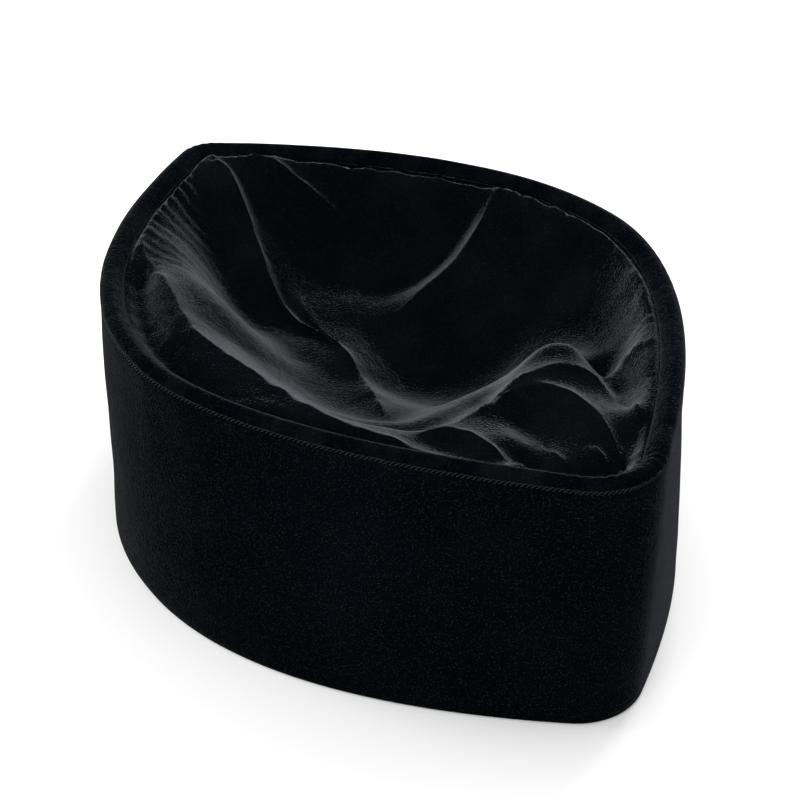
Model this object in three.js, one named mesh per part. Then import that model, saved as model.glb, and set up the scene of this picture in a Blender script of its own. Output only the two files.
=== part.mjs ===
import * as THREE from "three";

// A soft velvet cap without a brim: an upright side band with a pointed front and back,
// a rolled edge around its top, and a loose crown that sinks between them in folds.
// Millimetres, +Z up, X across the cap, Y along it, the front tip towards -Y.

// Overall sizes
const capHeight = 79;
const bandWall = 3;
const rollWidth = 6.8;
const rollHeight = 4;
const crownThickness = 1.8;

// The band's top edge follows the underside of the roll: inset from the outer face and
// drop below the crest of the roll
const bandSeat = [
  { inset: 0, drop: 2.9 },
  { inset: 1, drop: 3.85 },
  { inset: bandWall, drop: 4.45 },
];

// Where the crown is sewn in, measured from the outer face and from the crest of the roll
const seamInset = 6.2;
const seamDrop = 5.6;

// Fineness of the faceted bodies
const quarterSteps = 24;
const bandRows = 5;
const rollSides = 10;
const crownRings = 18;
const spineShare = 0.25;

// Outline of the outer face at the hem and at the top. left and right are half widths,
// front and back half lengths; each flank bows out by its exponent and the two flanks
// meet in a rounded tip of the given radius.
const outlines = {
  hem: {
    left: 81.2,
    right: 86.8,
    front: 114.8,
    back: 115.1,
    frontBow: 2.0,
    backBow: 2.2,
    frontTip: 20,
    backTip: 7.4,
  },
  top: {
    left: 79.8,
    right: 85.6,
    front: 116.6,
    back: 118.3,
    frontBow: 1.63,
    backBow: 2.1,
    frontTip: 20.3,
    backTip: 11.6,
  },
};

// Crests the crown cloth hangs from, each through its stations of x, y and height
const crests = [
  {
    fold: "centre crease, back",
    stations: [[-2, 105, 75.5], [-2, 96, 76], [-4, 85, 68], [-5, 75, 61], [-5, 62, 53], [-2, 49, 45]],
  },
  { fold: "centre crease, front", stations: [[-2, 49, 45], [0, 28, 44], [-3, 3, 42], [-12, -24, 44]] },
  {
    fold: "right cross ridge",
    stations: [[69, 46, 73], [62, 45, 65], [52, 46, 54], [40, 47, 49.5], [18, 46, 46], [-2, 49, 45]],
  },
  { fold: "left cross ridge", stations: [[-2, 49, 45], [-12, 41, 47], [-23, 32, 52], [-34, 22, 59]] },
  { fold: "back right fold", stations: [[9, 100, 75.5], [17, 96, 75], [22, 89, 70], [28, 80, 62]] },
  {
    fold: "left lip, back",
    stations: [[-24, 92, 76], [-38, 83, 77.5], [-47, 70, 78], [-53, 45, 77], [-56, 20, 76]],
  },
  {
    fold: "left lip, front",
    stations: [[-56, 20, 76], [-54, -8, 75], [-50, -30, 74], [-43, -46, 73], [-33, -56, 71.5]],
  },
  {
    fold: "mound crest",
    stations: [[-21, -50, 65], [-6, -49, 67], [10, -49, 71], [24, -45, 75], [34, -45, 75], [44, -52, 71]],
  },
  {
    fold: "mound fold, right",
    stations: [[18, -56, 71.5], [26, -57, 73], [31, -64, 72], [31, -75, 72], [26, -87, 72]],
  },
  {
    fold: "mound fold, middle",
    stations: [[0, -58, 68.5], [9, -61, 71], [16, -68, 72], [17, -79, 72], [12, -95, 72]],
  },
  {
    fold: "mound fold, left",
    stations: [[-24, -58, 68], [-15, -64, 69], [-10, -73, 69.5], [-7, -84, 70.5]],
  },
];

// Slack of the cloth: how strongly it bellies down (or up, below zero) between the crests
const slack = [
  { hollow: "back left", x: -22, y: 62, reachX: 26, reachY: 34, sag: 0.075 },
  { hollow: "back right", x: 28, y: 66, reachX: 34, reachY: 30, sag: 0.07 },
  { hollow: "middle", x: 32, y: 2, reachX: 46, reachY: 46, sag: 0.06 },
  { hollow: "front left", x: -24, y: -6, reachX: 26, reachY: 34, sag: 0.055 },
  { hollow: "between lip and roll", x: -62, y: 0, reachX: 12, reachY: 70, sag: 0.04 },
  { hollow: "furrow by the left fold", x: 3, y: -76, reachX: 12, reachY: 18, sag: 0.1 },
  { hollow: "furrow by the right fold", x: 24, y: -70, reachX: 8, reachY: 14, sag: 0.12 },
];

// Parts of the rolled edge that are drawn up in small gathers, as shares of the way around
// from the front tip by the right side
const rollGathers = [
  { place: "front tip", from: 0, to: 0.05, depth: 0.35 },
  { place: "right side", from: 0.12, to: 0.2, depth: 0.2 },
  { place: "back tip", from: 0.48, to: 0.52, depth: 0.3 },
  { place: "front tip", from: 0.95, to: 1, depth: 0.35 },
];

// How the crown's net settles: rounds of relaxing, how near to a crest (as a share of the
// spacing, and of the shortest side) a point must lie to move onto it, how close two such
// points may come, and the last smoothing
const relaxRounds = 600;
const snapShare = 0.45;
const narrowShare = 0.9;
const crowdShare = 0.3;
const smoothRounds = 3;
const smoothShare = 0.5;

const sectors = 4 * quarterSteps;

// One quarter of an outline, from its widest point to its tip, as even steps that grow
// closer together towards the tip
function quarterOutline(width, length, bow, tip) {
  const flankSamples = 300;
  const tipSamples = 40;
  const samples = [];
  let tipAngle = 0;
  for (let i = 0; i <= flankSamples; i += 1) {
    const share = i / flankSamples;
    const slope = ((width - tip) * bow * share ** (bow - 1)) / (length - tip);
    const size = Math.hypot(1, slope);
    const nx = 1 / size;
    const ny = slope / size;
    tipAngle = Math.atan2(ny, nx);
    const x = (width - tip) * (1 - share ** bow) + tip * nx;
    const y = (length - tip) * share + tip * ny;
    samples.push({ x, y, nx, ny });
  }
  for (let i = 1; i <= tipSamples; i += 1) {
    const angle = tipAngle + ((Math.PI / 2 - tipAngle) * i) / tipSamples;
    const nx = Math.cos(angle);
    const ny = Math.sin(angle);
    samples.push({ x: tip * nx, y: length - tip + tip * ny, nx, ny });
  }
  const travelled = [0];
  for (let i = 1; i < samples.length; i += 1) {
    const step = Math.hypot(samples[i].x - samples[i - 1].x, samples[i].y - samples[i - 1].y);
    travelled.push(travelled[i - 1] + step);
  }
  const tipCrowding = 0.12;
  const points = [];
  let at = 0;
  for (let i = 0; i <= quarterSteps; i += 1) {
    const share = i / quarterSteps;
    const goal = travelled[travelled.length - 1] * (share + tipCrowding * Math.sin(Math.PI * share));
    while (at < samples.length - 2 && travelled[at + 1] < goal) at += 1;
    const mix = Math.min(1, (goal - travelled[at]) / (travelled[at + 1] - travelled[at]));
    const a = samples[at];
    const b = samples[at + 1];
    points.push({
      x: a.x + (b.x - a.x) * mix,
      y: a.y + (b.y - a.y) * mix,
      nx: a.nx + (b.nx - a.nx) * mix,
      ny: a.ny + (b.ny - a.ny) * mix,
    });
  }
  return points;
}

// A whole outline from the front tip by the right side to the back tip and home by the left
function outline(size) {
  const turned = (points, sideways, lengthways) =>
    points.map((p) => ({
      x: p.x * sideways,
      y: p.y * lengthways,
      nx: p.nx * sideways,
      ny: p.ny * lengthways,
    }));
  const front = (width) => quarterOutline(width, size.front, size.frontBow, size.frontTip);
  const back = (width) => quarterOutline(width, size.back, size.backBow, size.backTip);
  const quarters = [
    turned(front(size.right), 1, -1).reverse(),
    turned(back(size.right), 1, 1),
    turned(back(size.left), -1, 1).reverse(),
    turned(front(size.left), -1, -1),
  ];
  return quarters.flatMap((quarter) => quarter.slice(0, -1));
}

const hemOutline = outline(outlines.hem);
const topOutline = outline(outlines.top);

// A point of the cap's side: sector around, height above the hem and inset from the outer face
function sidePoint(sector, z, inset) {
  const low = hemOutline[sector % sectors];
  const high = topOutline[sector % sectors];
  const share = z / capHeight;
  const mix = (key) => low[key] + (high[key] - low[key]) * share;
  const inwards = inset / Math.hypot(mix("nx"), mix("ny"));
  return new THREE.Vector3(mix("x") - inwards * mix("nx"), mix("y") - inwards * mix("ny"), z);
}

// A closed body from rings of equal count that follow one another around its section
function ringBody(rings) {
  const count = rings[0].length;
  const faces = [];
  for (let r = 0; r < rings.length; r += 1) {
    const next = (r + 1) % rings.length;
    for (let k = 0; k < count; k += 1) {
      const other = (k + 1) % count;
      faces.push([r * count + k, r * count + other, next * count + other]);
      faces.push([r * count + k, next * count + other, next * count + k]);
    }
  }
  return bodyGeometry(rings.flat(), faces);
}

function bodyGeometry(points, faces) {
  const geometry = new THREE.BufferGeometry();
  const coordinates = points.flatMap((p) => p.toArray());
  geometry.setAttribute("position", new THREE.Float32BufferAttribute(coordinates, 3));
  geometry.setIndex(faces.flat());
  geometry.computeVertexNormals();
  return geometry;
}

function sideRing(z, inset) {
  return Array.from({ length: sectors }, (_, k) => sidePoint(k, z, inset));
}

function bandGeometry() {
  const rings = [];
  for (let row = 0; row < bandRows; row += 1) {
    rings.push(sideRing(((capHeight - bandSeat[0].drop) * row) / bandRows, 0));
  }
  for (const edge of bandSeat) rings.push(sideRing(capHeight - edge.drop, edge.inset));
  for (let row = bandRows - 1; row >= 0; row -= 1) {
    rings.push(sideRing(((capHeight - bandSeat[2].drop) * row) / bandRows, bandWall));
  }
  return ringBody(rings);
}

function gatherAt(sector) {
  const share = sector / sectors;
  const row = rollGathers.find((gather) => share >= gather.from && share <= gather.to);
  return row && sector % 2 === 1 ? row.depth : 0;
}

function rollGeometry() {
  const rings = [];
  for (let side = 0; side < rollSides; side += 1) {
    const angle = (2 * Math.PI * side) / rollSides;
    rings.push(
      Array.from({ length: sectors }, (_, k) => {
        const inset = rollWidth / 2 - (rollWidth / 2 - gatherAt(k)) * Math.cos(angle);
        const rise = (rollHeight / 2 - gatherAt(k)) * Math.sin(angle);
        return sidePoint(k, capHeight - rollHeight / 2 + rise, inset);
      }),
    );
  }
  return ringBody(rings);
}

// The crown as a net: ring 0 lies on the seam, the last ring is a line along the middle
function crownNet() {
  const half = sectors / 2;
  const seam = sideRing(capHeight - seamDrop, seamInset);
  const spineCount = half + 1;
  const points = [];
  const index = (k, ring) => {
    const sector = ((k % sectors) + sectors) % sectors;
    if (ring < crownRings) return ring * sectors + sector;
    return crownRings * sectors + Math.min(sector, sectors - sector);
  };
  for (let ring = 0; ring <= crownRings; ring += 1) {
    const count = ring < crownRings ? sectors : spineCount;
    for (let k = 0; k < count; k += 1) {
      const opposite = seam[(sectors - k) % sectors];
      const spineY = (spineShare * (seam[k].y + opposite.y)) / 2;
      const spinePoint = new THREE.Vector3(0, spineY, seam[k].z);
      points.push(seam[k].clone().lerp(spinePoint, ring / crownRings));
    }
  }
  return { points, index, half };
}

// Neighbours of every point of the net along its rings and its rays
function netNeighbours(net) {
  const neighbours = net.points.map(() => new Set());
  const join = (a, b) => {
    if (a === b) return;
    neighbours[a].add(b);
    neighbours[b].add(a);
  };
  for (let ring = 0; ring <= crownRings; ring += 1) {
    for (let k = 0; k < sectors; k += 1) {
      join(net.index(k, ring), net.index(k + 1, ring));
      if (ring < crownRings) join(net.index(k, ring), net.index(k, ring + 1));
    }
  }
  return neighbours.map((set) => [...set]);
}

function curveSamples(stations) {
  const knots = stations.map((s) => new THREE.Vector3(...s));
  const curve = new THREE.CatmullRomCurve3(knots, false, "centripetal");
  return curve.getSpacedPoints(Math.ceil(curve.getLength()));
}

// How strongly the cloth sags at a place
function sagAt(point) {
  let sag = 0;
  for (const row of slack) {
    const away = Math.hypot((point.x - row.x) / row.reachX, (point.y - row.y) / row.reachY);
    if (away < 1) sag += row.sag * (1 - away * away);
  }
  return sag;
}

// The points next to a crest move onto it and keep its height, all the others settle
// between them like stretched cloth, and a last smoothing rounds the crests a little
function settledNet() {
  const net = crownNet();
  const neighbours = netNeighbours(net);
  const held = net.points.map((_, i) => i < sectors);
  const onCrest = net.points.map(() => false);
  const flatDistance = (a, b) => Math.hypot(a.x - b.x, a.y - b.y);
  const lengths = net.points.map((p, i) => neighbours[i].map((j) => flatDistance(p, net.points[j])));
  const spacing = lengths.map((list) => list.reduce((sum, length) => sum + length, 0) / list.length);
  const snapReach = lengths.map((list, i) =>
    Math.min(snapShare * spacing[i], narrowShare * Math.min(...list)),
  );
  const samples = crests.flatMap((crest) => curveSamples(crest.stations));
  net.points.forEach((point, i) => {
    if (held[i]) return;
    let best = samples[0];
    for (const sample of samples) {
      if (flatDistance(sample, point) < flatDistance(best, point)) best = sample;
    }
    const tooNear = (j) => onCrest[j] && flatDistance(best, net.points[j]) < crowdShare * spacing[i];
    const crowded = neighbours[i].some(tooNear);
    if (!crowded && flatDistance(best, point) < snapReach[i]) {
      point.copy(best);
      held[i] = true;
      onCrest[i] = true;
    }
  });
  const around = new THREE.Vector3();
  const averageAround = (i) => {
    around.set(0, 0, 0);
    for (const j of neighbours[i]) around.add(net.points[j]);
    return around.divideScalar(neighbours[i].length);
  };
  for (let round = 0; round < relaxRounds; round += 1) {
    net.points.forEach((point, i) => {
      if (held[i]) return;
      point.copy(averageAround(i));
      point.z -= sagAt(point) * (spacing[i] / 2) ** 2;
    });
  }
  for (let round = 0; round < smoothRounds; round += 1) {
    net.points.forEach((point, i) => {
      if (i >= sectors) point.lerp(averageAround(i), smoothShare);
    });
  }
  return { ...net, onCrest };
}

// Triangles of the net; each square is split so that a crest never crosses a split, and
// the squares at the ends of the spine so that none of their halves is flat
function netFaces(net) {
  const faces = [];
  const isCrest = (i) => net.onCrest[i];
  const atSpineEnd = (ring, k) => ring === crownRings - 1 && k % net.half === 0;
  for (let ring = 0; ring < crownRings; ring += 1) {
    for (let k = 0; k < sectors; k += 1) {
      const a = net.index(k, ring);
      const b = net.index(k + 1, ring);
      const c = net.index(k + 1, ring + 1);
      const d = net.index(k, ring + 1);
      if (c === d) {
        faces.push([a, b, c]);
      } else if (atSpineEnd(ring, k) || (isCrest(b) && isCrest(d) && !(isCrest(a) && isCrest(c)))) {
        faces.push([a, b, d], [b, c, d]);
      } else {
        faces.push([a, b, c], [a, c, d]);
      }
    }
  }
  return faces;
}

function crownGeometry() {
  const net = settledNet();
  const faces = netFaces(net);
  const normals = net.points.map(() => new THREE.Vector3());
  const side = new THREE.Vector3();
  const edge = new THREE.Vector3();
  for (const [a, b, c] of faces) {
    side.subVectors(net.points[b], net.points[a]);
    edge.subVectors(net.points[c], net.points[a]);
    side.cross(edge);
    for (const i of [a, b, c]) normals[i].add(side);
  }
  normals.forEach((normal) => normal.normalize());
  const upper = net.points.map((p, i) => p.clone().addScaledVector(normals[i], crownThickness / 2));
  const lower = net.points.map((p, i) => p.clone().addScaledVector(normals[i], -crownThickness / 2));
  const count = net.points.length;
  const body = [...faces, ...faces.map(([a, b, c]) => [a + count, c + count, b + count])];
  for (let k = 0; k < sectors; k += 1) {
    const next = (k + 1) % sectors;
    body.push([k, k + count, next + count], [k, next + count, next]);
  }
  return bodyGeometry([...upper, ...lower], body);
}

function velvet(name, color, roughness) {
  const material = new THREE.MeshStandardMaterial({ color, roughness, metalness: 0 });
  material.name = name;
  return material;
}

const cap = new THREE.Group();
cap.name = "velvet_cap";

const pieces = [
  { name: "side_band", geometry: bandGeometry(), material: velvet("band_velvet", 0x0c0d10, 0.9) },
  { name: "edge_roll", geometry: rollGeometry(), material: velvet("roll_velvet", 0x0e0f12, 0.85) },
  { name: "crown", geometry: crownGeometry(), material: velvet("crown_velvet", 0x0b0c0f, 0.9) },
];

for (const piece of pieces) {
  const mesh = new THREE.Mesh(piece.geometry, piece.material);
  mesh.name = piece.name;
  cap.add(mesh);
}

// The cap stands on its hem with the middle of its length and width over the origin
const middle = new THREE.Box3().setFromObject(cap).getCenter(new THREE.Vector3());
for (const mesh of cap.children) mesh.geometry.translate(-middle.x, -middle.y, 0);

export default cap;
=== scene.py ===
import math

import bmesh
import bpy
from mathutils import Matrix, Vector, noise
from mathutils.bvhtree import BVHTree
from mathutils.kdtree import KDTree


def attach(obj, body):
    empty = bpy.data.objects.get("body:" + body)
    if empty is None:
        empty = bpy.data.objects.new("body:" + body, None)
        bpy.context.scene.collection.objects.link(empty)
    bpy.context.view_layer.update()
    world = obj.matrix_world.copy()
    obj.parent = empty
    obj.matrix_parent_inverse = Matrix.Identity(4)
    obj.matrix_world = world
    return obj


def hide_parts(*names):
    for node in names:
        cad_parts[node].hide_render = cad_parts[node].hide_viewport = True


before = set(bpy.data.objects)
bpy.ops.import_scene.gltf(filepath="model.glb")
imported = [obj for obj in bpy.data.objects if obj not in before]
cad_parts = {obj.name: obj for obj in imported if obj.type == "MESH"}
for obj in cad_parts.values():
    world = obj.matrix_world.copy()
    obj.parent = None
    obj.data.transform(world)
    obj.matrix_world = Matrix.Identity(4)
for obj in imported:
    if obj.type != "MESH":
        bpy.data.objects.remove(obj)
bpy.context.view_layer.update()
mm = 0.001
meeting = 1e-6  # metres; points nearer to each other than this are made one
black = (0, 0, 0, 1)
white = (1, 1, 1, 1)
print("frame loaded")


class Wire:  # an output socket that can be used in sums
    def __init__(self, shader, socket):
        self.shader = shader
        self.socket = socket

    def calc(self, operation, a, b):
        return self.shader.node("ShaderNodeMath", {"operation": operation}, {0: a, 1: b})

    def __add__(self, other):
        return self.calc("ADD", self, other)

    def __mul__(self, other):
        return self.calc("MULTIPLY", self, other)

    __radd__ = __add__
    __rmul__ = __mul__


class Shader:  # a material and the one method that adds its nodes
    def __init__(self, name):
        self.material = bpy.data.materials.new(name)
        self.material.use_nodes = True
        self.tree = self.material.node_tree
        self.tree.nodes.clear()

    def node(self, kind, settings=None, sockets=None, out=0):
        made = self.tree.nodes.new(kind)
        for key, value in (settings or {}).items():
            if key == "stops":
                stops = made.color_ramp.elements
                while len(stops) < len(value):
                    stops.new(0.5)
                for stop, (place, colour) in zip(stops, value):
                    stop.position = place
                    stop.color = colour
            else:
                setattr(made, key, value)
        for key, value in (sockets or {}).items():
            if isinstance(value, Wire):
                self.tree.links.new(value.socket, made.inputs[key])
            else:
                made.inputs[key].default_value = value
        return Wire(self, made.outputs[out]) if made.outputs else made


def mixColours(shader, share, first, second):  # a Mix node's colours are its sockets 6 and 7
    return shader.node("ShaderNodeMix", {"data_type": "RGBA"}, {0: share, 6: first, 7: second}, out=2)


def addObject(name, bm, material):
    mesh = bpy.data.meshes.new(name)
    bm.to_mesh(mesh)
    bm.free()
    for face in mesh.polygons:
        face.use_smooth = True
    mesh.materials.append(material)
    made = bpy.data.objects.new(name, mesh)
    bpy.context.scene.collection.objects.link(made)
    return made


def fade(value, start, end):  # 0 at start, 1 at end, soft between
    share = min(1, max(0, (value - start) / (end - start)))
    return share * share * (3 - 2 * share)


def softNoise(x, y, z):  # a smooth chance value, always the same for the same place
    return noise.noise(Vector((x, y, z)))


# The plan of the cap in millimetres: half widths and half lengths, how full each flank
# bows, and the radius of the rounded tips, at the hem and at the top
cap = {
    "height": 79,
    "middle": (2.8, 0.85),
    "quarterSteps": 110,
    "tipCrowding": 0.12,
    "hem": {
        "left": 81.2, "right": 86.8, "front": 114.8, "back": 115.1,
        "frontBow": 2.0, "backBow": 2.2, "frontTip": 20, "backTip": 7.4,
    },
    "top": {
        "left": 79.8, "right": 85.6, "front": 116.6, "back": 118.3,
        "frontBow": 1.63, "backBow": 2.1, "frontTip": 20.3, "backTip": 11.6,
    },
}
sectors = 4 * cap["quarterSteps"]


def quarterOutline(width, length, bow, tip):
    flank = 600  # samples along the flank
    corner = 80  # samples around the tip
    samples = []
    tipAngle = 0
    for i in range(flank + 1):
        share = i / flank
        slope = (width - tip) * bow * share ** (bow - 1) / (length - tip)
        size = math.hypot(1, slope)
        out = Vector((1 / size, slope / size))
        tipAngle = math.atan2(out.y, out.x)
        core = Vector(((width - tip) * (1 - share ** bow), (length - tip) * share))
        samples.append((core + tip * out, out))
    for i in range(1, corner + 1):
        angle = tipAngle + (math.pi / 2 - tipAngle) * i / corner
        out = Vector((math.cos(angle), math.sin(angle)))
        samples.append((Vector((0, length - tip)) + tip * out, out))
    travelled = [0]
    for (a, _), (b, _) in zip(samples, samples[1:]):
        travelled.append(travelled[-1] + (b - a).length)
    points = []
    at = 0
    for i in range(cap["quarterSteps"] + 1):
        share = i / cap["quarterSteps"]
        goal = travelled[-1] * (share + cap["tipCrowding"] * math.sin(math.pi * share))
        while at < len(samples) - 2 and travelled[at + 1] < goal:
            at += 1
        mix = min(1, (goal - travelled[at]) / (travelled[at + 1] - travelled[at]))
        points.append([samples[at][n].lerp(samples[at + 1][n], mix) for n in (0, 1)])
    return points


def outline(size):  # from the front tip by the right side to the back tip, home by the left
    def turned(quarter, sideways, lengthways):
        turn = Vector((sideways, lengthways))
        return [(place * turn, out * turn) for place, out in quarter]

    front = {s: quarterOutline(size[s], size["front"], size["frontBow"], size["frontTip"])
             for s in ("left", "right")}
    back = {s: quarterOutline(size[s], size["back"], size["backBow"], size["backTip"])
            for s in ("left", "right")}
    quarters = [
        turned(front["right"], 1, -1)[::-1],
        turned(back["right"], 1, 1),
        turned(back["left"], -1, 1)[::-1],
        turned(front["left"], -1, -1),
    ]
    return [point for quarter in quarters for point in quarter[:-1]]


hemOutline = outline(cap["hem"])
topOutline = outline(cap["top"])
around = [0]  # how far along the top edge each sector lies
for k in range(sectors):
    step = topOutline[(k + 1) % sectors][0] - topOutline[k][0]
    around.append(around[-1] + step.length)
girth = around[-1]


def sidePoint(sector, height, inset):  # all in millimetres, returned in metres
    low = hemOutline[sector % sectors]
    high = topOutline[sector % sectors]
    share = height / cap["height"]
    out = low[1].lerp(high[1], share).normalized()
    flat = low[0].lerp(high[0], share) - inset * out - Vector(cap["middle"])
    return Vector((flat.x, flat.y, height)) * mm


def outwards(sector):
    return topOutline[sector % sectors][1].normalized()


def gathered(here, row, ends, least=0):  # where a row of gathers acts, and how fully it does
    start, end = row["from"] * girth, row["to"] * girth
    run = max(least, (end - start) * ends)
    for turn in (-girth, 0, girth):
        at = here + turn
        if start < at < end:
            yield at, fade(at, start, start + run) * fade(at, end, end - run)


def wrapRows(rowCount, place, closed):  # a circle of edges, extruded once for each row
    bm = bmesh.new()
    layer = bm.verts.layers.int.new("sector")
    verts = bmesh.ops.create_circle(bm, segments=sectors, radius=1)["verts"]
    for k, vert in enumerate(verts):
        vert[layer] = k
    edges = list(bm.edges)
    rows = []
    for row in range(rowCount):
        if row:
            grown = bmesh.ops.extrude_edge_only(bm, edges=edges)["geom"]
            verts = [g for g in grown if isinstance(g, bmesh.types.BMVert)]
            edges = [g for g in grown if isinstance(g, bmesh.types.BMEdge) and g.is_boundary]
        for vert in verts:
            vert.co = place(vert[layer], row)
        rows.append(verts)
    if closed:
        bmesh.ops.remove_doubles(bm, verts=rows[0] + rows[-1], dist=meeting)
    return bm, rows


# Camera, floor and light. The focal length, the centre and the frame are in pixels
view = {
    "azimuth": -32.39, "elevation": 32, "distance": 0.573,
    "target": (-0.0028, -0.00085, 0.0395),
    "focal": 1908.79, "centre": (386.69, 400.98), "frame": 800, "sensor": 36,
}
azimuth = math.radians(view["azimuth"])
elevation = math.radians(view["elevation"])
back = Vector((math.sin(azimuth) * math.cos(elevation),
               -math.cos(azimuth) * math.cos(elevation), math.sin(elevation)))
lens = bpy.data.cameras.new("camera")
lens.sensor_width = view["sensor"]
lens.lens = view["sensor"] * view["focal"] / view["frame"]
lens.shift_x = (view["frame"] / 2 - view["centre"][0]) / view["frame"]
lens.shift_y = (view["centre"][1] - view["frame"] / 2) / view["frame"]
lens.clip_start = 0.01
camera = bpy.data.objects.new("camera", lens)
camera.location = Vector(view["target"]) + back * view["distance"]
camera.rotation_euler = (-back).to_track_quat("-Z", "Y").to_euler()
bpy.context.scene.collection.objects.link(camera)
bpy.context.scene.camera = camera

light = {
    "world": 1.0, "aim": (0, 0, 0.04), "floorSize": 4,
    "lamps": [
        {"name": "back_right", "at": (0.75, 0.45, 0.5), "size": 0.5, "power": 9},
        {"name": "back_left", "at": (-0.6, 0.6, 0.7), "size": 0.6, "power": 5},
        {"name": "front_left", "at": (-0.7, -0.5, 0.6), "size": 0.6, "power": 2},
    ],
}
for row in light["lamps"]:
    lamp = bpy.data.lights.new(row["name"], "AREA")
    lamp.size = row["size"]
    lamp.energy = row["power"]
    holder = bpy.data.objects.new(row["name"], lamp)
    holder.location = row["at"]
    aim = Vector(light["aim"]) - holder.location
    holder.rotation_euler = aim.to_track_quat("-Z", "Y").to_euler()
    bpy.context.scene.collection.objects.link(holder)
world = bpy.data.worlds.new("studio")
world.use_nodes = True
world.node_tree.nodes["Background"].inputs["Color"].default_value = white
world.node_tree.nodes["Background"].inputs["Strength"].default_value = light["world"]
bpy.context.scene.world = world
bpy.context.scene.view_settings.view_transform = "Standard"

floorLook = {"Base Color": (0.9, 0.9, 0.9, 1), "Roughness": 0.9, "Specular IOR Level": 0.1}
floorPaint = Shader("pale_floor")
tone = floorPaint.node("ShaderNodeBsdfPrincipled", None, floorLook)
floorPaint.node("ShaderNodeOutputMaterial", None, {"Surface": tone})
bm = bmesh.new()
bmesh.ops.create_grid(bm, x_segments=1, y_segments=1, size=light["floorSize"])
floor = addObject("floor", bm, floorPaint.material)
print("camera, floor and light")


# Velvet. The pile is alike on every piece: its noise scales are waves to a metre, and its
# bumps are in metres. Each velvet has its own black, patches of wear, painted glints (bright
# specks of painted highlight in the colour) and sheen
pileLook = {
    "pile": {"Scale": 1500, "Detail": 2, "Roughness": 0.7},
    "lay": {"Detail": 3, "Roughness": 0.55},
    "crush": {"Scale": 330, "Detail": 3, "Roughness": 0.6},
    # The spot scale and the colour of the painted glints: bright specks of painted highlight on the pile
    "glintSpots": 1900, "paintedGlintColour": (0.06, 0.062, 0.066, 1),
    "wornFrom": 0.42, "wornTo": 0.7, "pileShare": 0.8, "crushShare": 0.25,
    "fineBump": {"Strength": 0.9, "Distance": 0.0006}, "softDistance": 0.002,
    "roughness": 0.75, "wornRoughness": 0.15, "gloss": 0.0, "sheenTint": (0.82, 0.86, 0.95, 1),
}
velvetLook = {
    "band_velvet": {"deep": (0.0007, 0.0012, 0.0021, 1), "worn": (0.0016, 0.0023, 0.0036, 1),
                    "patch": 26, "lay": 0.3, "glints": 0.22, "sheen": 0.10, "spread": 0.16},
    "roll_velvet": {"deep": (0.0007, 0.0013, 0.0024, 1), "worn": (0.0030, 0.0036, 0.0048, 1),
                    "patch": 120, "lay": 0.3, "glints": 0.17, "sheen": 0.19, "spread": 0.14},
    "crown_velvet": {"deep": (0.0013, 0.0019, 0.0030, 1), "worn": (0.0030, 0.0037, 0.0050, 1),
                     "patch": 45, "lay": 0.3, "glints": 0.17, "sheen": 0.56, "spread": 0.17},
}


def velvet(name):
    look = velvetLook[name]
    s = Shader(name)
    place = s.node("ShaderNodeTexCoord", out="Object")
    pile = s.node("ShaderNodeTexNoise", None, {"Vector": place, **pileLook["pile"]})
    lay = s.node("ShaderNodeTexNoise", None,
                 {"Vector": place, "Scale": look["patch"], **pileLook["lay"]})
    crush = s.node("ShaderNodeTexNoise", None, {"Vector": place, **pileLook["crush"]})
    # Painted glints: bright specks of painted highlight wherever a voronoi spot is nearer than the velvet's
    # glints share
    glintSpots = s.node("ShaderNodeTexVoronoi", {"feature": "F1"},
                  {"Vector": place, "Scale": pileLook["glintSpots"]}, out="Distance")
    glints = s.node("ShaderNodeValToRGB", {"stops": [(0.0, white), (look["glints"], black)]},
                    {"Fac": glintSpots})
    wornStops = [(pileLook["wornFrom"], black), (pileLook["wornTo"], white)]
    patch = s.node("ShaderNodeValToRGB", {"stops": wornStops}, {"Fac": lay})
    ground = mixColours(s, patch, look["deep"], look["worn"])
    # The painted glints are mixed into the velvet's own black here
    colour = mixColours(s, glints, ground, pileLook["paintedGlintColour"])
    height = pileLook["pileShare"] * pile + pileLook["crushShare"] * crush
    fine = s.node("ShaderNodeBump", None, {"Height": height, **pileLook["fineBump"]})
    soft = s.node("ShaderNodeBump", None, {
        "Strength": look["lay"], "Distance": pileLook["softDistance"], "Height": lay, "Normal": fine,
    })
    cloth = s.node("ShaderNodeBsdfPrincipled", None, {
        "Base Color": colour,
        "Roughness": pileLook["roughness"] + patch * pileLook["wornRoughness"],
        "Specular IOR Level": pileLook["gloss"],
        "Sheen Weight": look["sheen"],
        "Sheen Roughness": look["spread"],
        "Sheen Tint": pileLook["sheenTint"],
        "Normal": soft,
    })
    s.node("ShaderNodeOutputMaterial", None, {"Surface": cloth})
    return s.material


velvets = {name: velvet(name) for name in velvetLook}
print("velvet")


# Side band. Heights and insets of the wall's section, from the rounded hem up the outside,
# across the seat of the rolled edge and down the inside. The felted wall isn't quite even,
# but it is still at its hem and at its seam
band = {
    "wall": 3.0,
    "hem": [(0, 1.0), (0.25, 0.35), (0.9, 0.0)],
    "outerRows": 34, "outerTop": 75.6,
    "seat": [(76.1, 0.1), (76.05, 0.5), (75.15, 1.0), (74.55, 3.0)],
    "innerRows": 12, "innerTop": 73.5, "innerFoot": 4,
    "foot": [(0.9, 3.0), (0.25, 2.65), (0, 2.0)],
    "wave": 0.5, "waveScale": 26, "ripple": 0.16, "rippleScale": 75,
    "stillHem": (1, 14), "stillSeam": (74.5, 64),
}
hemTop = band["hem"][-1][0]
bandRows = list(band["hem"])
for i in range(1, band["outerRows"]):
    bandRows.append((hemTop + (band["outerTop"] - hemTop) * i / (band["outerRows"] - 1), 0.0))
bandRows += band["seat"]
for i in range(band["innerRows"]):
    drop = (band["innerTop"] - band["innerFoot"]) * i / (band["innerRows"] - 1)
    bandRows.append((band["innerTop"] - drop, band["wall"]))
bandRows += band["foot"]
bandRows.append(band["hem"][0])


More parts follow.
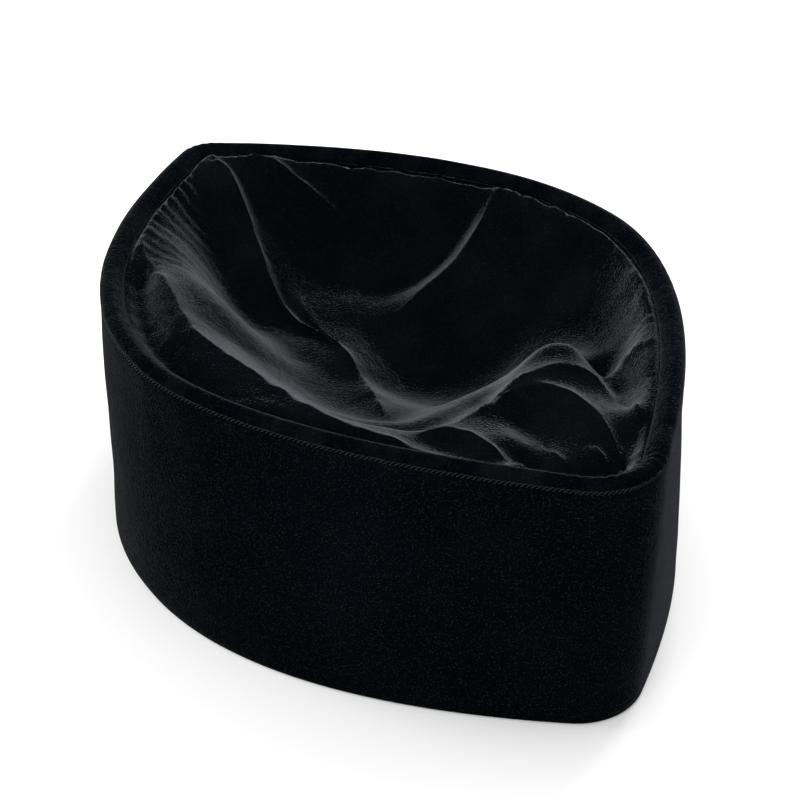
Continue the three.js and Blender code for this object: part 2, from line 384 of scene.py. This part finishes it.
def bandPlace(sector, row):
    height, inset = bandRows[row]
    point = sidePoint(sector, height, inset)
    if height > band["stillHem"][0]:
        hold = fade(height, *band["stillHem"]) * fade(height, *band["stillSeam"])
        wave = noise.noise(point * band["waveScale"]) * band["wave"]
        ripple = noise.noise(point * band["rippleScale"]) * band["ripple"]
        out = outwards(sector)
        point += Vector((out.x, out.y, 0)) * (wave + ripple) * hold * mm
    return point


bm, _ = wrapRows(len(bandRows), bandPlace, closed=True)
bmesh.ops.recalc_face_normals(bm, faces=bm.faces)
sideBand = addObject("band_wall", bm, velvets["band_velvet"])
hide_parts("side_band")
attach(sideBand, "root")
print("side band", len(sideBand.data.polygons))


# Rolled edge. The section leans: steep outside, its crest near the outer face, sloping down
# inwards. Gathers: shares of the way around from the front tip by the right side, their pitch
# and depth in millimetres. They thin the roll, less on its underside than on top
roll = {
    "sides": 30, "core": (3.2, 76.9), "sampleStep": 0.02,
    "section": [(0.1, 76.5), (0.05, 77.3), (0.7, 78.3), (1.8, 78.85), (3.1, 79.0), (4.6, 78.3),
                (6.1, 77.0), (6.8, 75.9), (6.2, 75.15), (4.6, 74.95), (3.0, 74.95), (1.3, 75.7)],
    "gathers": [
        {"place": "front tip, right", "from": -0.004, "to": 0.03, "pitch": 3.0, "depth": 0.5},
        {"place": "right side", "from": 0.06, "to": 0.235, "pitch": 2.8, "depth": 0.16},
        {"place": "back tip", "from": 0.485, "to": 0.52, "pitch": 3.4, "depth": 0.22},
        {"place": "left side", "from": 0.6, "to": 0.9, "pitch": 6.5, "depth": 0.1},
        {"place": "front tip, left", "from": 0.955, "to": 1.004, "pitch": 3.6, "depth": 0.42},
    ],
    "gatherEnds": 0.25, "leastEnd": 4, "drift": 2.2, "driftScale": 0.09,
    "even": 0.7, "uneven": 0.6, "unevenScale": 0.35,
    "lump": 0.2, "lumpScale": 60, "lumpLine": (78, 3),
    "underShare": 0.35, "upper": (75.4, 77.5),
}


def throughStations(stations, step):  # a smooth line with a point about every step
    points = [Vector(s) for s in stations]
    ends = [2 * points[0] - points[1], *points, 2 * points[-1] - points[-2]]
    return [*curveBetween(ends, step), points[-1]]


def curveBetween(knots, step):  # through all the knots but the first and the last
    line = []
    for a, b, c, d in zip(knots, knots[1:], knots[2:], knots[3:]):
        count = max(1, round((c - b).length / step))
        for i in range(count):
            t = i / count
            line.append(0.5 * (2 * b + (c - a) * t + (2 * a - 5 * b + 4 * c - d) * t * t
                               + (3 * b - a - 3 * c + d) * t ** 3))
    return line


sectionKnots = [Vector(point) for point in roll["section"]]
fineSection = curveBetween([sectionKnots[-1], *sectionKnots, *sectionKnots[:2]], roll["sampleStep"])
rollSection = [fineSection[round(i * len(fineSection) / roll["sides"]) % len(fineSection)]
               for i in range(roll["sides"])]


def gatherAt(sector):
    total = 0
    for row in roll["gathers"]:
        for at, window in gathered(around[sector], row, roll["gatherEnds"], roll["leastEnd"]):
            drift = roll["drift"] * softNoise(at * roll["driftScale"], row["pitch"], 0)
            wave = math.cos(2 * math.pi * at / row["pitch"] + drift)
            uneven = roll["even"] + roll["uneven"] * softNoise(at * roll["unevenScale"], 7, row["pitch"])
            total += row["depth"] * window * uneven * (wave - 1) / 2
    return total


def rollPlace(sector, row):
    point = rollSection[row % roll["sides"]]
    core = Vector(roll["core"])
    off = point - core
    lump = noise.noise(sidePoint(sector, *roll["lumpLine"]) * roll["lumpScale"]) * roll["lump"]
    thin = gatherAt(sector) + min(0, lump)
    upper = fade(point.y, *roll["upper"])
    off *= 1 + thin * (roll["underShare"] + (1 - roll["underShare"]) * upper) / off.length
    return sidePoint(sector, (core + off).y, (core + off).x)


bm, _ = wrapRows(roll["sides"] + 1, rollPlace, closed=True)
bmesh.ops.recalc_face_normals(bm, faces=bm.faces)
edgeRoll = addObject("rolled_edge", bm, velvets["roll_velvet"])
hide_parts("edge_roll")
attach(edgeRoll, "root")
print("rolled edge", len(edgeRoll.data.polygons))


# Crown. Sizes are in millimetres, x across the cap and y along it, but the cloth's flat size
# and area are in metres, and waver and soft noise count their waves to a metre.
# Creases: stations along each line, how far it stands up from the cloth around it, how much
# it wavers, and over what length it runs out at its two ends.
# Swells: broad rises and hollows along a line. A third number at a station is its share of
# the lift, and grip is how far in from the seam the swell is whole.
# Puffs: the cloth bulges just inside the roll; share of the way around, lift, and how far in
# it is highest. Troughs and gathers: shares of the way around where they start and end.
# Relax: how far from a crease the net is smoothed, and how many times.
crown = {
    "rows": 90, "seamInset": 5.2, "seamDrop": 4.2, "spineShare": 0.25, "thickness": 1.2,
    "rowPower": 1.12, "rayFrom": 200, "smoothFirst": 24,
    "relax": [(2.6, 26), (5, 34), (9, 22), (1000, 6)],
    "flat": (0.18, 0.25), "area": 0.031,
    "creaseStep": 0.5, "waverScale": 170, "waverRise": 0.35, "snap": 1.9, "mergeWithin": 0.25,
    "swellStep": 2, "swellFrom": 1.5, "grip": 8,
    "rollCover": 1.7, "slowPuff": 0.25, "slowScale": 0.09, "quickPuff": 0.2, "quickScale": 0.4,
    "troughEnds": 0.05, "gatherEnds": 0.3, "gatherFrom": 1.5, "drift": 3.5, "driftScale": 0.05,
    "even": 0.5, "uneven": 1.1, "unevenScale": 0.12,
    "soft": [(55, 0.5), (130, 0.14)], "softIn": (1, 12), "calm": 0.35, "calmReach": 8,
    "puffs": [(0.0, 2.0, 2.0), (0.06, 1.6, 2.0), (0.14, 2.2, 2.2), (0.21, 3.2, 2.4), (0.28, 4.2, 3.0),
              (0.40, 4.2, 3.2), (0.48, 3.6, 2.6), (0.52, 2.6, 2.0), (0.6, 2.6, 2.0), (0.65, 0.6, 2.0),
              (0.94, 0.5, 2.0), (1.0, 2.0, 2.0)],
    "creases": [
        {"fold": "centre crease", "rise": 2.4, "waver": 0.3, "from": 4, "to": 22,
         "line": [(-5, 106), (-1, 101), (-2, 92), (-3.3, 82), (-5.3, 72), (-7.5, 62), (-8.6, 51),
                  (-7.6, 40), (-4.4, 31), (-3.8, 20), (-5.4, 9), (-8, 0), (-11, -10), (-16, -24)]},
        {"fold": "back right fold", "rise": 1.6, "waver": 0.3, "from": 12, "to": 12,
         "line": [(5, 104), (11, 98), (13.5, 91.5), (16, 86), (19.5, 80), (23, 74), (27, 68)]},
        {"fold": "right cross ridge", "rise": 1.0, "waver": 0.4, "from": 5, "to": 22,
         "line": [(72.5, 41.5), (68, 39), (61.5, 37), (54, 35.5), (46, 36.5), (37, 37.5),
                  (28, 36), (14, 32)]},
        {"fold": "left lip", "rise": 1.7, "waver": 1.0, "from": 8, "to": 14,
         "line": [(-46, 74), (-50, 62), (-52.5, 52), (-54, 38), (-57, 25), (-59.5, 12), (-58, 2),
                  (-57, -10), (-55, -22), (-53, -35), (-50, -47), (-45.5, -58), (-40, -66),
                  (-33, -74)]},
        {"fold": "crease outside the lip", "rise": 0.9, "waver": 0.4, "from": 5, "to": 6,
         "line": [(-60, 14.5), (-65, 15.5), (-69.5, 12.5), (-71.5, 7.5), (-72.5, 1)]},
        {"fold": "back left gather", "rise": 1.0, "waver": 0.9, "from": 6, "to": 8,
         "line": [(-14, 99), (-24, 91.5), (-34, 82.5), (-41, 75), (-47, 66)]},
        {"fold": "mound fold, right", "rise": 2.0, "waver": 0.3, "from": 9, "to": 8,
         "line": [(-8, -54), (0, -54.5), (7, -55.5), (13, -57), (19, -58.5), (23.5, -62.5),
                  (25, -68.5), (25, -76), (22.5, -84), (18.5, -92)]},
        {"fold": "mound fold, middle", "rise": 2.2, "waver": 0.3, "from": 14, "to": 8,
         "line": [(-18, -58), (-10, -57), (-2, -57), (4.5, -59.5),
                  (9, -63.5), (12, -69.5), (12.5, -77), (11, -86), (8.5, -95), (5.5, -102)]},
        {"fold": "mound fold, left", "rise": 2.0, "waver": 0.3, "from": 10, "to": 7,
         "line": [(-34, -62), (-27, -62), (-22, -65), (-19.5, -72), (-18.5, -81), (-18.5, -90),
                  (-19.5, -95)]},
        {"fold": "tip fold, left", "rise": 0.8, "waver": 0.3, "from": 5, "to": 4,
         "line": [(-3, -80), (-4, -89.5), (-6.5, -100)]},
        {"fold": "tip fold, right", "rise": 1.0, "waver": 0.3, "from": 4, "to": 4,
         "line": [(5, -88), (4, -94), (2.5, -100)]},
        {"fold": "right small arc", "rise": 1.3, "waver": 0.2, "from": 4, "to": 4,
         "line": [(31, -60), (34.5, -58.5), (39, -57.5), (43, -59), (44.5, -64)]},
        {"fold": "right gather, upper", "rise": 1.1, "waver": 0.2, "from": 5, "to": 5,
         "line": [(67, -22), (65.5, -30), (63, -37), (60, -44)]},
        {"fold": "right gather, lower", "rise": 1.0, "waver": 0.2, "from": 4, "to": 5,
         "line": [(62, -34), (59.5, -41), (56.5, -48.5)]},
        {"fold": "near right gather", "rise": 0.9, "waver": 0.3, "from": 4, "to": 5,
         "line": [(52, -46), (49.5, -52), (45, -60)]},
    ],
    "swells": [
        {"place": "under the cross ridge", "lift": 6.5, "reach": 12,
         "line": [(54, 29), (46, 30), (38, 30), (30, 28, 0.8), (20, 25, 0.45), (12, 24, 0.1)]},
        {"place": "behind the cross ridge", "lift": -8.0, "reach": 8,
         "line": [(62, 48), (54, 46), (46, 47), (38, 47, 0.8), (28, 46, 0.5), (18, 44, 0.15),
                  (12, 44, 0)]},
        {"place": "under the ridge's foot", "lift": 3.0, "reach": 6,
         "line": [(68, 38), (61, 36), (55, 34)]},
        {"place": "under the back right fold", "lift": 6.0, "reach": 5, "grip": 15,
         "line": [(13, 90), (16, 85), (20, 79), (25, 71)]},
        {"place": "shoulder behind the lip, back", "lift": 8.0, "reach": 10,
         "line": [(-31, 76, 0.6), (-35, 66), (-38, 52), (-39, 40), (-41, 28, 0.6), (-43, 16, 0)]},
        {"place": "hollow behind the lip, front", "lift": -4.0, "reach": 6,
         "line": [(-48, -26, 0), (-42, -38, 0.6), (-32, -47), (-20, -50), (-8, -49), (3, -47),
                  (12, -43, 0.6), (20, -40, 0)]},
        {"place": "left of the centre crease", "lift": -2.2, "reach": 9,
         "line": [(-16, 84), (-18, 66), (-20, 48), (-20, 26)]},
        {"place": "mound's brow", "lift": 2.2, "reach": 6.5,
         "line": [(9, -48), (17, -46.5), (24, -47), (29, -51)]},
        {"place": "right of the mound", "lift": -7.0, "reach": 10, "grip": 10,
         "line": [(38, -46), (46, -43), (54, -32), (59, -20, 0.8), (62, -6, 0.4), (64, 8, 0)]},
        {"place": "beside the mound", "lift": -8.5, "reach": 5.5, "grip": 13,
         "line": [(42, -48), (36, -54), (32.5, -62), (29.5, -71), (26.5, -80)]},
        {"place": "behind the near edge", "lift": -6.5, "reach": 6, "grip": 4,
         "line": [(13, -95), (8, -100), (2, -102), (-4, -98), (-10, -91), (-14, -84)]},
        {"place": "outside the mound fold, left", "lift": -3.5, "reach": 5, "grip": 4,
         "line": [(-33, -68), (-27, -73), (-24, -81)]},
    ],
    "troughs": [
        {"place": "left", "from": 0.615, "to": 0.82, "at": 6.5, "reach": 4.5, "depth": 5.0},
        {"place": "near left", "from": 0.78, "to": 0.97, "at": 4.5, "reach": 2.5, "depth": 3.5},
    ],
    "gathers": [
        {"place": "back left beads", "from": 0.515, "to": 0.62, "pitch": 5.0, "depth": 1.3, "reach": 2.6},
        {"place": "back left streaks", "from": 0.515, "to": 0.66, "pitch": 6.2, "depth": 0.45, "reach": 16},
        {"place": "left lip", "from": 0.62, "to": 0.86, "pitch": 9.5, "depth": 0.25, "reach": 6},
        {"place": "right side", "from": 0.10, "to": 0.24, "pitch": 7.0, "depth": 0.3, "reach": 3},
        {"place": "front tip", "from": -0.05, "to": 0.05, "pitch": 4.5, "depth": 0.4, "reach": 9},
        {"place": "far side", "from": 0.22, "to": 0.50, "pitch": 13.0, "depth": 0.9, "reach": 4},
    ],
}


crownSolid = BVHTree.FromObject(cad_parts["crown"], bpy.context.evaluated_depsgraph_get())
seam = [sidePoint(k, cap["height"] - crown["seamDrop"], crown["seamInset"]) for k in range(sectors)]
spine = [Vector((-cap["middle"][0] * mm, crown["spineShare"] * (seam[k].y + seam[-k].y) / 2, 0))
         for k in range(sectors)]


def crownPlace(sector, row):  # on the solid crown, under a net that runs from seam to spine
    point = seam[sector].lerp(spine[sector], (row / crown["rows"]) ** crown["rowPower"])
    if row == 0:
        return seam[sector]
    above = Vector((point.x, point.y, crown["rayFrom"] * mm))
    hit = crownSolid.ray_cast(above, Vector((0, 0, -1)))[0]
    if hit is None:
        hit = crownSolid.find_nearest(Vector((point.x, point.y, seam[sector].z)))[0]
    return Vector((point.x, point.y, hit.z))


def settle(bm, verts, rounds):
    for _ in range(rounds):
        bmesh.ops.smooth_vert(bm, verts=verts, factor=0.5,
                              use_axis_x=True, use_axis_y=True, use_axis_z=True)


def treeFromAbove(points):  # finds the nearest of the points, all seen from above
    tree = KDTree(len(points))
    for i, point in enumerate(points):
        tree.insert((point.x, point.y, 0), i)
    tree.balance()
    return tree


bm, rows = wrapRows(crown["rows"] + 1, crownPlace, closed=False)
edgeRing = set(rows[0])
bmesh.ops.remove_doubles(bm, verts=rows[-1], dist=10 * meeting)
inside = [vert for vert in bm.verts if vert not in edgeRing]
settle(bm, inside, crown["smoothFirst"])

seamTree = treeFromAbove(seam)
for swell in crown["swells"]:
    points = throughStations([(*point, 1)[:3] for point in swell["line"]], crown["swellStep"])
    lineTree = treeFromAbove([Vector((point.x * mm, point.y * mm, 0)) for point in points])
    grip = swell.get("grip", crown["grip"])
    for vert in inside:
        _, i, distance = lineTree.find((vert.co.x, vert.co.y, 0))
        inwards = seamTree.find((vert.co.x, vert.co.y, 0))[2] / mm
        swelling = swell["lift"] * points[i].z * math.exp(-(distance / mm / swell["reach"]) ** 2)
        vert.co.z += swelling * fade(inwards, crown["swellFrom"], grip) * mm


def crestLine(crease):  # points along a crease, which way it runs there and how high it stands
    line = [Vector((*point, 0)) * mm for point in throughStations(crease["line"], crown["creaseStep"])]
    total = sum((b - a).length for a, b in zip(line, line[1:]))
    travelled = 0
    crest = []
    for n, point in enumerate(line):
        following = line[min(n + 1, len(line) - 1)]
        ahead = (following - line[max(n - 1, 0)]).normalized()
        sideways = Vector((-ahead.y, ahead.x, 0))
        waver = noise.noise(point * crown["waverScale"] + Vector((0, 0, crease["rise"])))
        ends = fade(travelled / mm, 0, crease["from"]) * fade((total - travelled) / mm, 0, crease["to"])
        rise = crease["rise"] * ends * (1 + crown["waverRise"] * waver) * mm
        crest.append((point + sideways * waver * crease["waver"] * mm, ahead, rise, crease["fold"]))
        travelled += (following - point).length
    return crest


crestPoints = [point for crease in crown["creases"] for point in crestLine(crease)]
crestTree = treeFromAbove([place for place, *_ in crestPoints])
nearest = {}
for vert in bm.verts:  # how far the nearest crease is, where along it, which, and on which side
    flat = Vector((vert.co.x, vert.co.y, 0))
    _, i, distance = crestTree.find(flat)
    place, ahead, _, fold = crestPoints[i]
    nearest[vert] = (distance, i, fold, ahead.cross(flat - place).z)

onCrease = set()
for edge in bm.edges:  # the nearer end of every edge that a crease crosses moves onto it
    a, b = (nearest[vert] for vert in edge.verts)
    if a[2] == b[2] and a[3] * b[3] <= 0 and max(a[0], b[0]) < crown["snap"] * mm:
        onCrease.add(edge.verts[0] if a[0] < b[0] else edge.verts[1])
onCrease -= edgeRing
for vert in onCrease:
    point, _, rise, _ = crestPoints[nearest[vert][1]]
    vert.co = Vector((point.x, point.y, vert.co.z + rise))
bmesh.ops.remove_doubles(bm, verts=list(onCrease), dist=crown["mergeWithin"] * mm)
onCrease = {vert for vert in onCrease if vert.is_valid}
bmesh.ops.connect_verts(bm, verts=list(onCrease), check_degenerate=True)
print("crown net", len(bm.verts), "on creases", len(onCrease))

held = edgeRing | onCrease
for reach, rounds in crown["relax"]:
    loose = [vert for vert in bm.verts if vert not in held and nearest[vert][0] < reach * mm]
    settle(bm, loose, rounds)
print("crown settled")


def puffHere(share):
    for a, b in zip(crown["puffs"], crown["puffs"][1:]):
        if a[0] <= share <= b[0]:
            mix = fade(share, a[0], b[0])
            return a[1] + (b[1] - a[1]) * mix, a[2] + (b[2] - a[2]) * mix


def seamLift(inwards, here):  # from how far in and how far around a point lies
    free = max(0, inwards - crown["rollCover"])
    puff, puffAt = puffHere(here / girth)
    slow = crown["slowPuff"] * softNoise(here * crown["slowScale"], 1, 4)
    quick = crown["quickPuff"] * softNoise(here * crown["quickScale"], 8, 4)
    lift = puff * free / puffAt * math.exp(1 - free / puffAt) * (1 + slow + quick)
    for row in crown["troughs"]:
        coming = fade(here / girth, row["from"], row["from"] + crown["troughEnds"])
        going = fade(here / girth, row["to"], row["to"] - crown["troughEnds"])
        lift -= row["depth"] * coming * going * math.exp(-((inwards - row["at"]) / row["reach"]) ** 2)
    for row in crown["gathers"]:
        for at, window in gathered(here, row, crown["gatherEnds"]):
            drift = crown["drift"] * softNoise(at * crown["driftScale"], row["pitch"],
                                               inwards * crown["driftScale"])
            wave = math.cos(2 * math.pi * at / row["pitch"] + drift)
            bump = abs(softNoise(at * crown["unevenScale"], 3, row["pitch"]))
            near = math.exp(-free / row["reach"]) * fade(free, 0, crown["gatherFrom"])
            lift += row["depth"] * window * (crown["even"] + crown["uneven"] * bump) * wave * near
    return lift


for vert in bm.verts:
    if vert in edgeRing:
        continue
    _, k, distance = seamTree.find((vert.co.x, vert.co.y, 0))
    inwards = distance / mm
    soft = sum(noise.noise(vert.co * scale) * depth for scale, depth in crown["soft"])
    awayFromCrease = fade(nearest[vert][0] / mm, 0, crown["calmReach"])
    calm = crown["calm"] + (1 - crown["calm"]) * awayFromCrease
    lift = seamLift(inwards, around[k]) + soft * fade(inwards, *crown["softIn"]) * calm
    vert.co.z += lift * mm

bmesh.ops.recalc_face_normals(bm, faces=bm.faces)
if sum(face.normal.z for face in bm.faces) < 0:
    bmesh.ops.reverse_faces(bm, faces=bm.faces)
print("crown area", sum(face.calc_area() for face in bm.faces))
crownCloth = addObject("crown_cloth", bm, velvets["crown_velvet"])
wall = crownCloth.modifiers.new("wall", "SOLIDIFY")
wall.thickness = crown["thickness"] * mm
wall.offset = -1
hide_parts("crown")
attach(crownCloth, "root")
print("crown cloth", len(crownCloth.data.polygons))


# Overcast stitches: dark slanting stitches, one by one along the seam under the rolled edge
threadLook = {
    "deep": (0.003, 0.0035, 0.0045, 1), "worn": (0.016, 0.0165, 0.018, 1),
    "twist": {"Scale": 2500, "Detail": 2}, "bump": {"Strength": 0.4, "Distance": 0.0001},
    "shine": {"Roughness": 0.6, "Specular IOR Level": 0.08, "Sheen Weight": 0.15, "Sheen Roughness": 0.3},
}
stitches = {
    "pitch": 1.35, "length": 2.2, "thick": 0.13, "drop": 2.75, "slant": 38, "standOff": 0.02,
    "heightSpread": 0.15, "heightScale": 0.1, "slantSpread": 7, "slantScale": 0.7,
    "sides": 6, "rings": 4,
}
thread = Shader("stitch_thread")
threadPlace = thread.node("ShaderNodeTexCoord", out="Object")
twist = thread.node("ShaderNodeTexNoise", None, {"Vector": threadPlace, **threadLook["twist"]})
threadTone = mixColours(thread, twist, threadLook["deep"], threadLook["worn"])
threadBump = thread.node("ShaderNodeBump", None, {"Height": twist, **threadLook["bump"]})
threadCloth = thread.node("ShaderNodeBsdfPrincipled", None,
                          {"Base Color": threadTone, "Normal": threadBump, **threadLook["shine"]})
thread.node("ShaderNodeOutputMaterial", None, {"Surface": threadCloth})

bm = bmesh.new()
count = round(girth / stitches["pitch"])
sector = 0
for n in range(count):
    goal = girth * n / count
    while around[sector + 1] < goal:
        sector += 1
    mix = (goal - around[sector]) / (around[sector + 1] - around[sector])
    unevenHeight = stitches["heightSpread"] * softNoise(goal * stitches["heightScale"], 0, 5)
    height = cap["height"] - stitches["drop"] + unevenHeight
    foot = sidePoint(sector, height, 0).lerp(sidePoint(sector + 1, height, 0), mix)
    ahead = (sidePoint(sector + 1, height, 0) - sidePoint(sector, height, 0)).normalized()
    out = Vector((*outwards(sector), 0)).normalized()
    up = out.cross(ahead).normalized()
    if up.z < 0:
        up.negate()
    unevenSlant = stitches["slantSpread"] * softNoise(goal * stitches["slantScale"], 2, 0)
    slant = math.radians(stitches["slant"] + unevenSlant)
    along = ahead * math.cos(slant) + up * math.sin(slant)
    side = along.cross(out)
    turn = Matrix((side, out, along)).transposed().to_4x4()
    turn.translation = foot + out * stitches["standOff"] * mm
    made = bmesh.ops.create_uvsphere(bm, u_segments=stitches["sides"], v_segments=stitches["rings"],
                                     radius=1)["verts"]
    size = (stitches["thick"] * mm, stitches["thick"] * mm, stitches["length"] / 2 * mm)
    bmesh.ops.scale(bm, vec=size, verts=made)
    bmesh.ops.transform(bm, matrix=turn, verts=made)
stitchRow = addObject("overcast_stitches", bm, thread.material)
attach(stitchRow, "root")
print("stitches", count)
